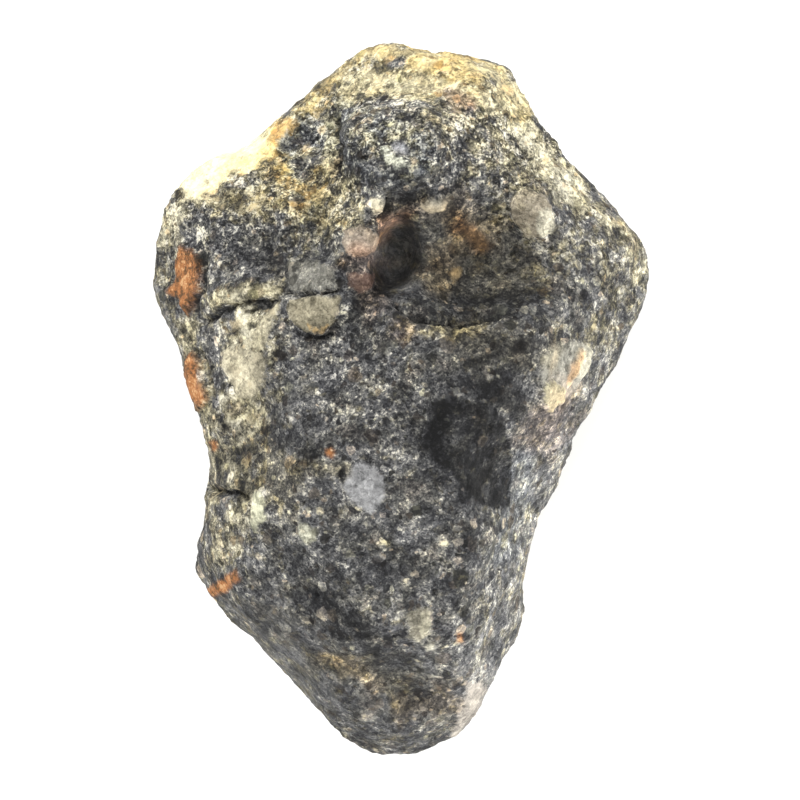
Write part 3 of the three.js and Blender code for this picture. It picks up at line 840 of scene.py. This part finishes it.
def place_cracks(side):
    """How far each point is darkened as painted shade in its crack or pit, and how deep that goes."""
    groove_shade = np.zeros(len(side.px))
    height = np.zeros(len(side.px))
    for groove in CRACKS.values():
        distance = side.away(line_distance(side.px, side.py, groove["line"]))
        share = np.exp(-(distance / groove["width"] * GROOVE_STEEPNESS) ** 2)
        height -= groove["depth"] * share
        groove_shade = np.maximum(groove_shade, share)
    for (cx, cy), radius, depth in PITS:
        distance = side.away(np.hypot(side.px - cx, side.py - cy))
        bowl = np.exp(-(distance / radius) ** 2)
        height -= depth * bowl
        groove_shade = np.maximum(groove_shade, bowl)
    return groove_shade, height


def place_tints(side):
    """The ground's tint, level and contrast, and how much coat lies on it and how yellow that is."""
    level = np.zeros(len(side.px))
    tint = np.ones((len(side.px), 4))
    contrast = np.full(len(side.px), PLAIN_CONTRAST)
    coat = np.zeros(len(side.px))
    yellow = np.full(len(side.px), PLAIN_YELLOW)
    shares = [(mark, side.share(mark["line"], mark["reach"])) for mark in STROKES.values()]
    shares += [(shade, ease(0.5 + side.depth(shade["edge"]) / shade["soft"])) for shade in SHADES.values()]
    for mark, share in shares:
        stops = np.log(mark.get("tone", 1.0)) * share
        level += stops * LEVEL_SHARE / RAMP_SLOPE
        tint[:, :3] *= np.exp(stops * (1 - LEVEL_SHARE))[:, None]
        tint[:, :3] *= 1 + share[:, None] * (np.array(CASTS[mark.get("cast", "plain")]) - 1)
        contrast += share * (mark.get("contrast", PLAIN_CONTRAST) - PLAIN_CONTRAST)
        here = share * mark.get("coat", 0.0)
        yellow = np.where(here > coat, mark.get("yellow", PLAIN_YELLOW), yellow)
        coat = np.maximum(coat, here)
    turned = ease(COAT_TURN - side.normals[:, 2])
    own_coat = TURNED_COAT + COAT_CHANGE * lumpy(side.points, COAT_WAVE, SEED + 6)
    coat = np.maximum(coat, turned * own_coat)
    yellow += turned * YELLOW_CHANGE * lumpy(side.points, YELLOW_WAVE, SEED + 7)
    return {"tint": tint, "level": level, "contrast": contrast, "coat": coat, "yellow": yellow}


def carve_and_mark(mesh):
    """Gives the stone its clasts, crusts, cracks and pits, and stores what colours them."""
    side = Side(mesh)
    stored = place_tints(side)
    stored["clast_depth"], stored["clast_colour"], clast_height = place_clasts(side)
    stored["clast_cover"] = stored["clast_colour"][:, 3]
    stored["crust_depth"], crust_height = place_crusts(side)
    stored["groove_shade"], crack_height = place_cracks(side)
    for name, comb in COMBS.items():
        stored[name] = side.share(comb["line"], comb["reach"])
    height = clast_height + crust_height + crack_height
    write_points(mesh, side.points + side.normals * height[:, None])
    for name, values in stored.items():
        write_values(mesh, name, values)


def node(tree, kind, inputs=None, stops=None, **settings):
    """Adds one node with its settings. An input given as a socket is linked."""
    made = tree.nodes.new(kind)
    for name, value in settings.items():
        setattr(made, name, value)
    for key, value in (inputs or {}).items():
        if isinstance(value, bpy.types.NodeSocket):
            tree.links.new(value, made.inputs[key])
        else:
            made.inputs[key].default_value = value
    if stops:
        ramp = made.color_ramp
        while len(ramp.elements) < len(stops):
            ramp.elements.new(1.0)
        for element, (place, colour) in zip(ramp.elements, stops):
            element.position = place
            element.color = linear(colour)
    return made


def wandering(tree, place, scale, reach):
    """Places that wander by about the reach, so that cells which are read there get ragged edges."""
    noise = node(
        tree, "ShaderNodeTexNoise", {"Vector": place, "Scale": scale, "Detail": 1.0}
    ).outputs["Color"]
    centred = node(
        tree, "ShaderNodeVectorMath", {0: noise, 1: (0.5, 0.5, 0.5)}, operation="SUBTRACT"
    ).outputs[0]
    shift = node(tree, "ShaderNodeVectorMath", {0: centred, "Scale": 2 * reach}, operation="SCALE").outputs[0]
    return node(tree, "ShaderNodeVectorMath", {0: place, 1: shift}, operation="ADD").outputs[0]


def add_level(tree, total, level, share):
    """Adds a share of a level around 0.5 to a total around 0.5."""
    centred = node(tree, "ShaderNodeMath", {0: level, 1: 0.5}, operation="SUBTRACT").outputs[0]
    return node(tree, "ShaderNodeMath", {0: centred, 1: share, 2: total}, operation="MULTIPLY_ADD").outputs[0]


def add_cells(tree, total, place, texture, share):
    """Adds grains to a total, each of one random tone."""
    cells = node(tree, "ShaderNodeTexVoronoi", {"Vector": place, **texture}).outputs["Color"]
    level = node(tree, "ShaderNodeSeparateColor", {0: cells}).outputs[0]
    return add_level(tree, total, level, share)


def add_pebbles(tree, total, hue, place, scale, size, cover):
    """Lays small rounded clasts, each of its own tone and hue, over part of the ground's."""
    cells = node(tree, "ShaderNodeTexVoronoi", {"Vector": place, "Scale": scale}).outputs
    parts = node(tree, "ShaderNodeSeparateColor", {0: cells["Color"]}).outputs
    radius = node(tree, "ShaderNodeMath", {0: parts[1], 1: size}, operation="MULTIPLY").outputs[0]
    inside = node(tree, "ShaderNodeMath", {0: radius, 1: cells["Distance"]}, operation="SUBTRACT").outputs[0]
    mask = node(
        tree, "ShaderNodeMapRange", {0: inside, 4: cover, **PEBBLE_EDGE}, interpolation_type="SMOOTHSTEP"
    ).outputs[0]
    calmer = add_level(tree, parts[0], total, PEBBLE_SHARE)
    own = node(tree, "ShaderNodeValToRGB", {0: parts[2]}, stops=CLAST_HUES).outputs[0]
    tone = node(tree, "ShaderNodeMix", {0: mask, 2: total, 3: calmer}, data_type="FLOAT").outputs[0]
    return tone, node(tree, "ShaderNodeMix", {0: mask, 6: hue, 7: own}, data_type="RGBA").outputs[2]


def add_streaks(tree, total, mm, name, way):
    """Adds streaks along one direction, as far as the comb's stored values say."""
    along = node(tree, "ShaderNodeVectorMath", {0: mm, 1: way}, operation="DOT_PRODUCT").outputs["Value"]
    back = node(tree, "ShaderNodeVectorMath", {0: way, "Scale": along}, operation="SCALE").outputs[0]
    most = node(tree, "ShaderNodeVectorMath", {0: back, "Scale": -COMB_STRETCH}, operation="SCALE").outputs[0]
    combed = node(tree, "ShaderNodeVectorMath", {0: mm, 1: most}, operation="ADD").outputs[0]
    streak = node(tree, "ShaderNodeTexNoise", {"Vector": combed, **STREAKS}).outputs[0]
    amount = node(tree, "ShaderNodeAttribute", attribute_name=name).outputs["Fac"]
    weight = node(tree, "ShaderNodeMath", {0: amount, 1: COMB_SHARE}, operation="MULTIPLY").outputs[0]
    return add_level(tree, total, streak, weight)


def ground_tone(tree, mm, ragged, broad, stored):
    """The ground's tone, from 0 to 1, and the hue of its smallest clasts."""
    contrast = stored["contrast"]["Fac"]
    fine = add_cells(tree, 0.5, mm, GRAINS, GRAIN_SHARE)
    fine = add_cells(tree, fine, wandering(tree, mm, *FLECK_WANDER), FLECKS, FLECK_SHARE)
    dust = node(tree, "ShaderNodeTexNoise", {"Vector": mm, **DUST}).outputs[0]
    fine = add_level(tree, fine, dust, DUST_SHARE)
    total = add_level(tree, 0.5, fine, contrast)
    calm = node(tree, "ShaderNodeMapRange", {0: contrast, **CALM_RANGE}).outputs[0]
    cloud = node(tree, "ShaderNodeTexNoise", {"Vector": mm, **CLOUD}).outputs[0]
    cloudy = add_cells(tree, 0.5, ragged, SMUDGES, SMUDGE_SHARE)
    cloudy = add_level(tree, cloudy, cloud, CLOUD_SHARE)
    total = add_level(tree, total, cloudy, calm)
    total = add_level(tree, total, broad, BROAD_SHARE)
    total = node(tree, "ShaderNodeMath", {0: total, 1: stored["level"]["Fac"]}, operation="ADD").outputs[0]
    hue = linear("#ffffff")
    cover = node(tree, "ShaderNodeMath", {0: calm, 1: PEBBLE_COVER}, operation="MULTIPLY").outputs[0]
    for scale, size in PEBBLES:
        total, hue = add_pebbles(tree, total, hue, ragged, scale, size, cover)
    for name, comb in COMBS.items():
        total = add_streaks(tree, total, mm, name, Vector(comb["way"]).normalized())
    return total, hue


def ground_colour(tree, tone, broad, patchy, stored):
    """Fresh blue-grey rock, which weathering turns olive, then chalky cream or yellow."""
    fresh = node(tree, "ShaderNodeValToRGB", {0: tone}, stops=FRESH_COLOURS).outputs[0]
    stained = node(tree, "ShaderNodeValToRGB", {0: tone}, stops=STAINED_COLOURS).outputs[0]
    weather = node(
        tree,
        "ShaderNodeMath",
        {0: patchy, 1: PATCH_WEATHER, 2: stored["coat"]["Fac"]},
        operation="MULTIPLY_ADD",
    ).outputs[0]
    is_stained, is_chalky = (
        node(tree, "ShaderNodeMapRange", {0: weather, **change}, interpolation_type="SMOOTHSTEP").outputs[0]
        for change in (STAIN_RANGE, CHALK_RANGE)
    )
    ground = node(tree, "ShaderNodeMix", {0: is_stained, 6: fresh, 7: stained}, data_type="RGBA").outputs[2]
    yellowness = node(
        tree,
        "ShaderNodeMath",
        {0: broad, 1: CLOUD_YELLOW, 2: stored["yellow"]["Fac"]},
        operation="MULTIPLY_ADD",
    ).outputs[0]
    chalk_colour = node(tree, "ShaderNodeValToRGB", {0: yellowness}, stops=CHALK_COLOURS).outputs[0]
    chalk_tone = node(tree, "ShaderNodeMapRange", {0: tone, **CHALK_TONES}).outputs[0]
    chalk = node(
        tree, "ShaderNodeVectorMath", {0: chalk_colour, "Scale": chalk_tone}, operation="SCALE"
    ).outputs[0]
    return node(tree, "ShaderNodeMix", {0: is_chalky, 6: ground, 7: chalk}, data_type="RGBA").outputs[2]


def multiplied(tree, colour, *factors):
    """A colour multiplied by others in turn."""
    for factor in factors:
        colour = node(
            tree, "ShaderNodeMix", {0: 1.0, 6: colour, 7: factor}, data_type="RGBA", blend_type="MULTIPLY"
        ).outputs[2]
    return colour


def clasted_colour(tree, ground, tone, raggedness, stored):
    """The ground with its clasts, which blend into it at ragged edges."""
    depth = node(
        tree, "ShaderNodeMath", {0: stored["clast_depth"]["Fac"], 1: raggedness}, operation="ADD"
    ).outputs[0]
    is_clast = node(
        tree, "ShaderNodeMapRange", {0: depth, **CLAST_EDGE}, interpolation_type="SMOOTHSTEP"
    ).outputs[0]
    covered = node(
        tree, "ShaderNodeMath", {0: is_clast, 1: stored["clast_cover"]["Fac"]}, operation="MULTIPLY"
    ).outputs[0]
    clast_tone = node(tree, "ShaderNodeMapRange", {0: tone, **CLAST_TONES}).outputs[0]
    clast = node(
        tree,
        "ShaderNodeVectorMath",
        {0: stored["clast_colour"]["Color"], "Scale": clast_tone},
        operation="SCALE",
    ).outputs[0]
    return node(tree, "ShaderNodeMix", {0: covered, 6: ground, 7: clast}, data_type="RGBA").outputs[2]


def rusted_colour(tree, bare, tone, patchy, raggedness, stored):
    """The bare stone with its rusty crusts, whose grains and middles are paler."""
    depth = node(
        tree,
        "ShaderNodeMath",
        {0: raggedness, 1: CRUST_RAGGEDNESS, 2: stored["crust_depth"]["Fac"]},
        operation="MULTIPLY_ADD",
    ).outputs[0]
    is_crust = node(
        tree, "ShaderNodeMapRange", {0: depth, **CRUST_EDGE}, interpolation_type="SMOOTHSTEP"
    ).outputs[0]
    level = patchy
    for part, share in ((tone, RUST_TONE), (depth, RUST_DEPTH)):
        level = node(
            tree, "ShaderNodeMath", {0: part, 1: share, 2: level}, operation="MULTIPLY_ADD"
        ).outputs[0]
    level = node(tree, "ShaderNodeMath", {0: level, 1: RUST_OFFSET}, operation="SUBTRACT").outputs[0]
    rust = node(tree, "ShaderNodeValToRGB", {0: level}, stops=RUST_COLOURS).outputs[0]
    return node(tree, "ShaderNodeMix", {0: is_crust, 6: bare, 7: rust}, data_type="RGBA").outputs[2]


def breccia():
    """Feldspathic impact breccia, broken and weathered in a desert.

    It gives the eye a matt and dusty surface without gloss, dark grey and granular where it is fresh,
    and smoother and creamy where the weather has coated it.
    """
    material = bpy.data.materials.new("weathered_breccia")
    material.use_nodes = True
    tree = material.node_tree
    tree.nodes.clear()
    stored = {
        name: node(tree, "ShaderNodeAttribute", attribute_name=name).outputs for name in STORED_VALUES
    }
    place = node(tree, "ShaderNodeTexCoord").outputs["Object"]
    mm = node(tree, "ShaderNodeVectorMath", {0: place, "Scale": 1 / MM}, operation="SCALE").outputs[0]
    ragged = wandering(tree, mm, *RAGGED_WANDER)
    broad = node(tree, "ShaderNodeTexNoise", {"Vector": mm, **BROAD_CLOUD}).outputs[0]
    patchy = node(tree, "ShaderNodeTexNoise", {"Vector": ragged, **WEATHER_PATCHES}).outputs[0]
    raggedness = node(
        tree,
        "ShaderNodeMath",
        {0: patchy, 1: CLAST_RAGGEDNESS, 2: -CLAST_RAGGEDNESS / 2},
        operation="MULTIPLY_ADD",
    ).outputs[0]
    drift = node(tree, "ShaderNodeTexNoise", {"Vector": ragged, **HUE_DRIFT}).outputs[0]
    drift_hue = node(tree, "ShaderNodeValToRGB", {0: drift}, stops=DRIFT_HUES).outputs[0]

    tone, hue = ground_tone(tree, mm, ragged, broad, stored)
    ground = multiplied(tree, ground_colour(tree, tone, broad, patchy, stored), hue, drift_hue)
    clasted = clasted_colour(tree, ground, tone, raggedness, stored)
    tinted = multiplied(tree, clasted, stored["tint"]["Color"])
    rusted = rusted_colour(tree, tinted, tone, patchy, raggedness, stored)
    # Cracks and pits are darkened here as painted shade.
    unshaded = node(tree, "ShaderNodeMapRange", {0: stored["groove_shade"]["Fac"], **GROOVE_SHADE_RANGE}).outputs[0]
    final = node(tree, "ShaderNodeVectorMath", {0: rusted, "Scale": unshaded}, operation="SCALE").outputs[0]

    height = node(tree, "ShaderNodeMath", {0: tone, 1: GRAIN_BUMP}, operation="MULTIPLY").outputs[0]
    bump = node(tree, "ShaderNodeBump", {"Strength": 1.0, "Distance": MM, "Height": height}).outputs[0]
    shader = node(tree, "ShaderNodeBsdfPrincipled", {"Base Color": final, "Normal": bump, **STONE_FINISH})
    output = node(tree, "ShaderNodeOutputMaterial")
    tree.links.new(shader.outputs[0], output.inputs[0])
    return material


def weathered_relief(material):
    """A node tree that gives any rock surface its knobs, grains and pits along the normals."""
    tree = bpy.data.node_groups.new("weathered_relief", "GeometryNodeTree")
    tree.interface.new_socket("Geometry", in_out="INPUT", socket_type="NodeSocketGeometry")
    for name, value in RELIEF_SIZES.items():
        tree.interface.new_socket(name, in_out="INPUT", socket_type="NodeSocketFloat").default_value = value
    tree.interface.new_socket("Geometry", in_out="OUTPUT", socket_type="NodeSocketGeometry")
    given = node(tree, "NodeGroupInput").outputs
    position = node(tree, "GeometryNodeInputPosition").outputs[0]
    places = {
        size: node(tree, "ShaderNodeVectorMath", {0: position, 1: given[size]}, operation="DIVIDE").outputs[0]
        for size in ("Knob Spacing", "Grain Size", "Rough Size", "Pit Spacing")
    }
    knob, grain, pit = (
        node(tree, "ShaderNodeTexVoronoi", {"Vector": places[size], "Scale": 1.0}, feature=feature).outputs[0]
        for size, feature in (("Knob Spacing", "SMOOTH_F1"), ("Grain Size", "F1"), ("Pit Spacing", "F1"))
    )
    rough_place = places["Rough Size"]
    rough = node(tree, "ShaderNodeTexNoise", {"Vector": rough_place, **ROUGHNESS_NOISE}).outputs[0]
    bowl = node(tree, "ShaderNodeMapRange", {0: pit, **PIT_BOWL}, interpolation_type="SMOOTHSTEP").outputs[0]
    fresh_rise = 0.0
    forms = ((0.5, knob, "Knob Height"), (0.5, grain, "Grain Height"), (rough, 0.5, "Rough Height"))
    for high, low, size in forms:
        up = node(tree, "ShaderNodeMath", {0: high, 1: low}, operation="SUBTRACT").outputs[0]
        fresh_rise = node(
            tree, "ShaderNodeMath", {0: up, 1: given[size], 2: fresh_rise}, operation="MULTIPLY_ADD"
        ).outputs[0]
    sunk = node(tree, "ShaderNodeMath", {0: bowl, 1: given["Pit Depth"]}, operation="MULTIPLY").outputs[0]
    fresh_rise = node(tree, "ShaderNodeMath", {0: fresh_rise, 1: sunk}, operation="SUBTRACT").outputs[0]
    contrast = node(
        tree, "GeometryNodeInputNamedAttribute", {"Name": "contrast"}, data_type="FLOAT"
    ).outputs["Attribute"]
    kept = node(tree, "ShaderNodeMath", {0: contrast, 1: PLAIN_CONTRAST}, operation="DIVIDE").outputs[0]
    rise = node(tree, "ShaderNodeMath", {0: fresh_rise, 1: kept}, operation="MULTIPLY").outputs[0]
    normal = node(tree, "GeometryNodeInputNormal").outputs[0]
    offset = node(tree, "ShaderNodeVectorMath", {0: normal, "Scale": rise}, operation="SCALE").outputs[0]
    moved = node(
        tree, "GeometryNodeSetPosition", {"Geometry": given["Geometry"], "Offset": offset}
    ).outputs[0]
    whole = node(tree, "GeometryNodeRealizeInstances", {0: moved}).outputs[0]
    finished = node(tree, "GeometryNodeSetMaterial", {"Geometry": whole, "Material": material}).outputs[0]
    output = node(tree, "NodeGroupOutput")
    tree.links.new(finished, output.inputs[0])
    return tree


def make_stone():
    """The dressed stone, in place of the plain solid."""
    material = breccia()
    stone = fine_copy(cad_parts["meteorite"], "breccia_stone")
    carve_and_mark(stone.data)
    relief = stone.modifiers.new("relief", "NODES")
    relief.node_group = weathered_relief(material)
    settle(stone)
    points, _ = read_points(stone.data)
    write_points(stone.data, points)
    for face in stone.data.polygons:
        face.use_smooth = True
    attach(stone, "root")
    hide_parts("meteorite")


def add_floor():
    """A plain pale floor, matt, so that it throws soft light back under the stone."""
    mesh = bpy.data.meshes.new("floor")
    half = FLOOR_SIZE / 2
    corners = [(-half, -half, 0), (half, -half, 0), (half, half, 0), (-half, half, 0)]
    mesh.from_pydata(corners, [], [(0, 1, 2, 3)])
    floor = bpy.data.objects.new("floor", mesh)
    bpy.context.collection.objects.link(floor)
    paper = bpy.data.materials.new("matt_paper")
    paper.use_nodes = True
    shader = paper.node_tree.nodes["Principled BSDF"]
    shader.inputs["Base Color"].default_value = linear(FLOOR_COLOUR)
    shader.inputs["Roughness"].default_value = FLOOR_ROUGHNESS
    mesh.materials.append(paper)


def add_lights():
    """Soft light from all round, and three lamps that aim at the stone."""
    world = bpy.data.worlds.new("soft_room")
    world.use_nodes = True
    world.node_tree.nodes["Background"].inputs["Color"].default_value = (1, 1, 1, 1)
    world.node_tree.nodes["Background"].inputs["Strength"].default_value = WORLD_STRENGTH
    bpy.context.scene.world = world
    aim = Vector((0, 0, EDGE_HEIGHT * MM))
    for lamp in LIGHTS:
        data = bpy.data.lights.new(lamp["name"], "AREA")
        data.size = lamp["size"]
        data.energy = lamp["watts"]
        light = bpy.data.objects.new(lamp["name"], data)
        light.location = lamp["at"]
        light.rotation_euler = (aim - Vector(lamp["at"])).to_track_quat("-Z", "Y").to_euler()
        bpy.context.collection.objects.link(light)


add_camera()
make_stone()
add_floor()
add_lights()
bpy.context.scene.view_settings.view_transform = "Standard"
